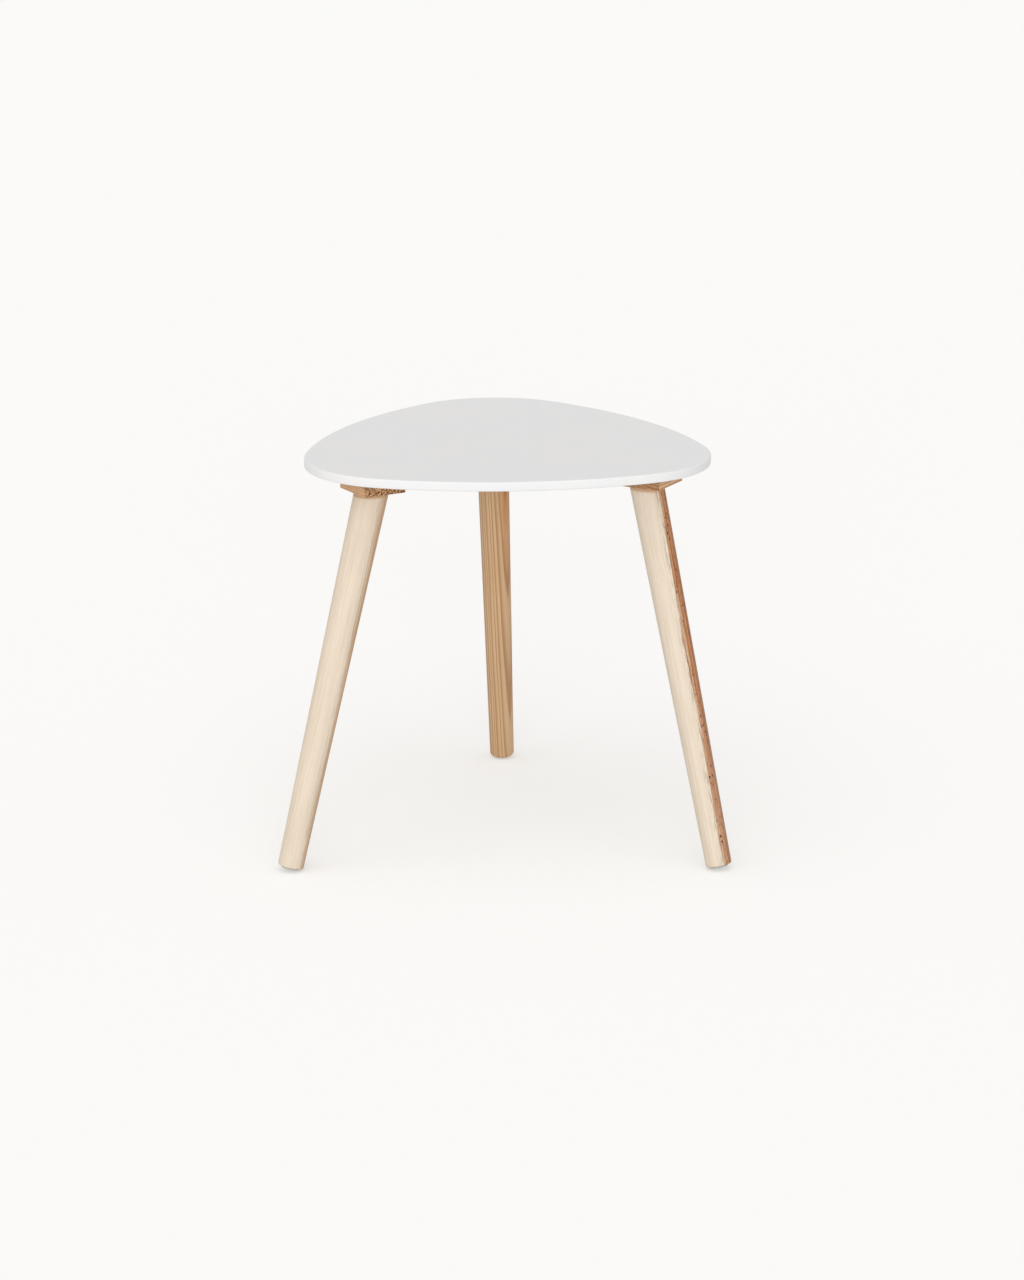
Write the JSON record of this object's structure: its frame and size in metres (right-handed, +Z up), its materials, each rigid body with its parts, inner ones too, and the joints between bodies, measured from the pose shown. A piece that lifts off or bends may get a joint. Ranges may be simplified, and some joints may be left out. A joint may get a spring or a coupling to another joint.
{
  "type": "side table",
  "caption": "Low side table with a white rounded triangular top on three splayed, tapered pine legs, each bolted into a pine block under the top.",
  "frame": {"origin": "on the floor under the middle of the table's bounding box", "axes": "+Z up through the top; +Y towards the corner with the back leg; +X towards the right-hand corner as seen from the front"},
  "size_m": [0.4966, 0.479, 0.45],
  "materials": {
    "white_lacquer": "satin white lacquer on MDF",
    "pine_leg": "sanded, clear matt",
    "pine_block": "sawn, clear matt",
    "zinc": "zinc plated",
    "grey_felt": "felt"
  },
  "bodies": {
    "root": {"table_top": "white_lacquer", "mounting_block_left": "pine_block", "leg_left": "pine_leg", "foot_pad_left": "grey_felt", "hanger_bolt_left": "zinc", "threaded_insert_left": "zinc", "block_screw_left_1": "zinc", "block_screw_left_2": "zinc", "block_screw_left_3": "zinc", "block_screw_left_4": "zinc", "mounting_block_right": "pine_block", "leg_right": "pine_leg", "foot_pad_right": "grey_felt", "hanger_bolt_right": "zinc", "threaded_insert_right": "zinc", "block_screw_right_1": "zinc", "block_screw_right_2": "zinc", "block_screw_right_3": "zinc", "block_screw_right_4": "zinc", "mounting_block_back": "pine_block", "leg_back": "pine_leg", "foot_pad_back": "grey_felt", "hanger_bolt_back": "zinc", "threaded_insert_back": "zinc", "block_screw_back_1": "zinc", "block_screw_back_2": "zinc", "block_screw_back_3": "zinc", "block_screw_back_4": "zinc"}
  },
  "joints": []
}
